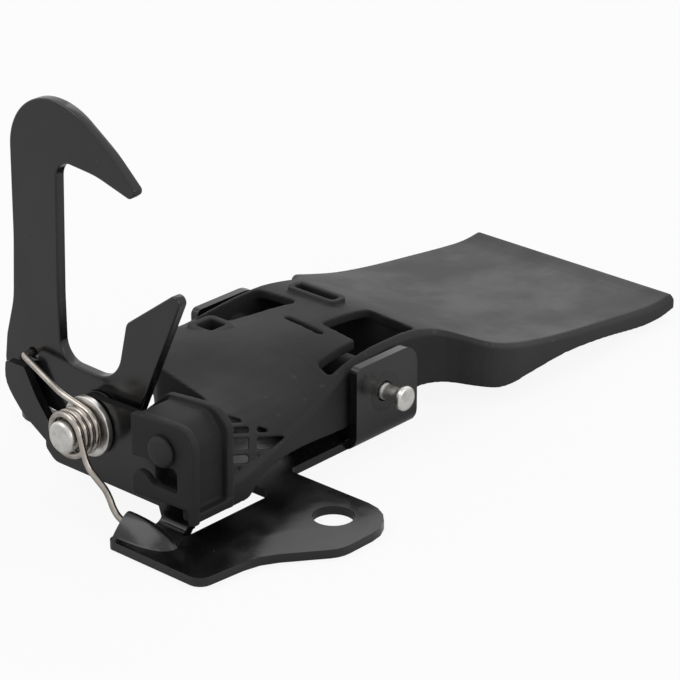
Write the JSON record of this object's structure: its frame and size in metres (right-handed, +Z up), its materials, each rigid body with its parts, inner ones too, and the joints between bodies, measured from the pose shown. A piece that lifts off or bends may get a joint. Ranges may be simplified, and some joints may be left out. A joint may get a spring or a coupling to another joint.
{
  "type": "bonnet latch",
  "caption": "Bonnet latch: folded steel bracket with a sprung safety hook and a moulded finger paddle that swings the hook off its striker.",
  "frame": {"origin": "on the bracket's underside, below the lever pin's axis and midway between the two ears", "axes": "+X to the latch's right, +Y from the nose towards the paddle's tip, +Z up from the mounting face"},
  "size_m": [0.1011, 0.1745, 0.0861],
  "materials": {
    "coated_steel": "black coat, half gloss",
    "zinc_steel": "zinc plated",
    "spring_wire": "bright drawn wire",
    "moulded_plastic": "fine matt moulding",
    "nylon": "plain moulding",
    "rubber": "dull"
  },
  "bodies": {
    "base": {"base_bracket": "coated_steel", "hook_stud": "zinc_steel", "stud_washer": "zinc_steel", "slip_washer": "nylon", "rear_washer": "zinc_steel", "hook_spring": "spring_wire", "lever_pin": "zinc_steel", "pin_bush_left": "nylon", "pin_bush_right": "nylon"},
    "hook": {"safety_hook": "coated_steel"},
    "lever": {"release_lever": "moulded_plastic", "nose_buffer": "rubber"}
  },
  "joints": [
    {"name": "lever_press", "type": "hinge", "parent": "base", "child": "lever", "pos_m": [0, 0, 0.012], "axis": [-1, 0, 0], "range_deg": [0, 18], "stiffness_Nm_per_rad": 0.12, "springref_deg": -17.19},
    {"name": "hook_turn", "type": "hinge", "parent": "base", "child": "hook", "pos_m": [-0.0017, -0.05775, 0.0175], "axis": [0, -1, 0], "range_deg": [0, 12], "stiffness_Nm_per_rad": 0.35, "springref_deg": -28.65, "deforming": ["hook_spring"]}
  ],
  "couplings": [
    {"joint": "hook_turn", "follows": "lever_press", "ratio": 0.66}
  ]
}
